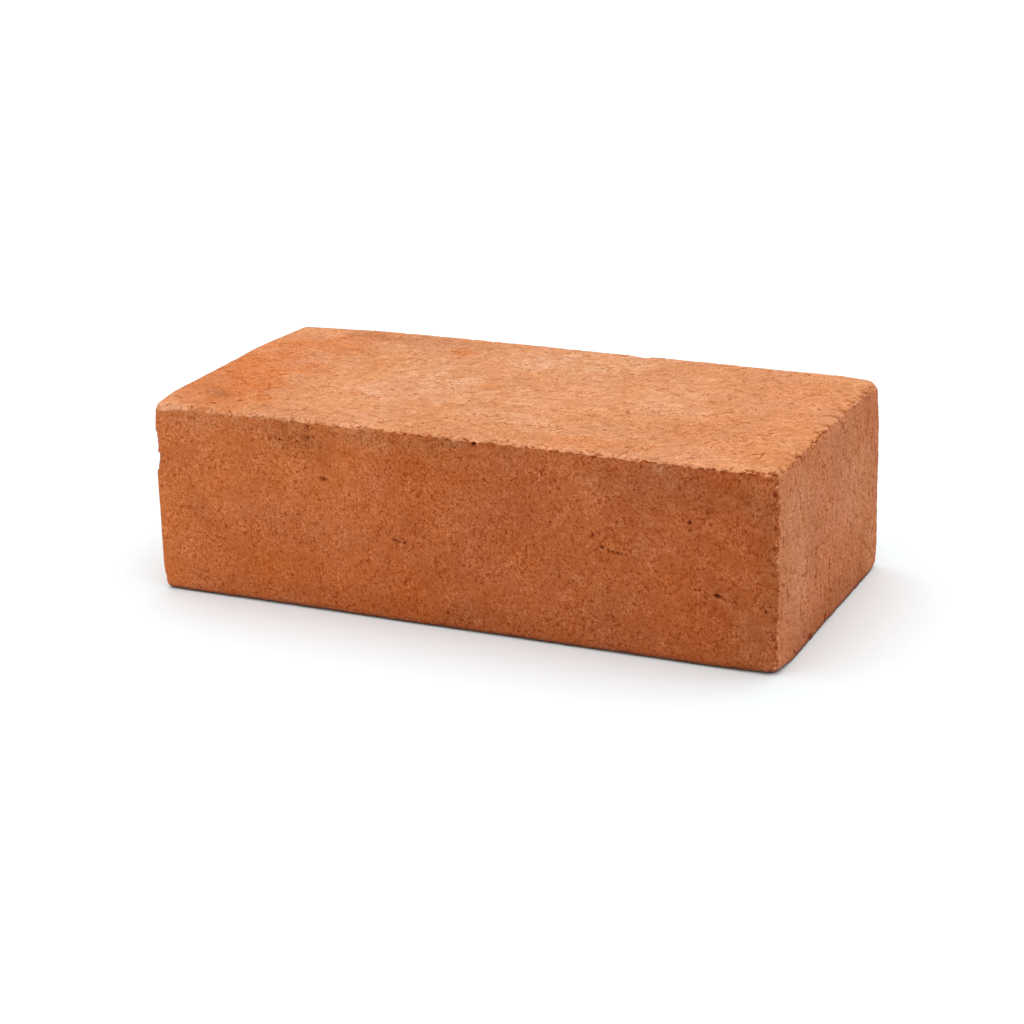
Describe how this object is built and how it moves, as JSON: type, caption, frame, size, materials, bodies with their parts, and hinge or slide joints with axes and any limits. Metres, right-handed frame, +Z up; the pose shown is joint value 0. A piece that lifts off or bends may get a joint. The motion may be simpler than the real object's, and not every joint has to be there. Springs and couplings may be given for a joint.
{
  "type": "clay brick",
  "caption": "Solid fired clay building brick with flat beds, worn arrises and open pits, laid in mortar or stacked dry.",
  "frame": {"origin": "centre of the lower bed face", "axes": "+X along the brick's length, +Y across its width towards the back stretcher face, +Z up through the beds"},
  "size_m": [0.215, 0.1024, 0.065],
  "materials": {
    "fired_clay": "matt unglazed terracotta, fine-grained, with pale bloom and darker firing patches"
  },
  "bodies": {
    "root": {"brick": "fired_clay"}
  },
  "joints": []
}
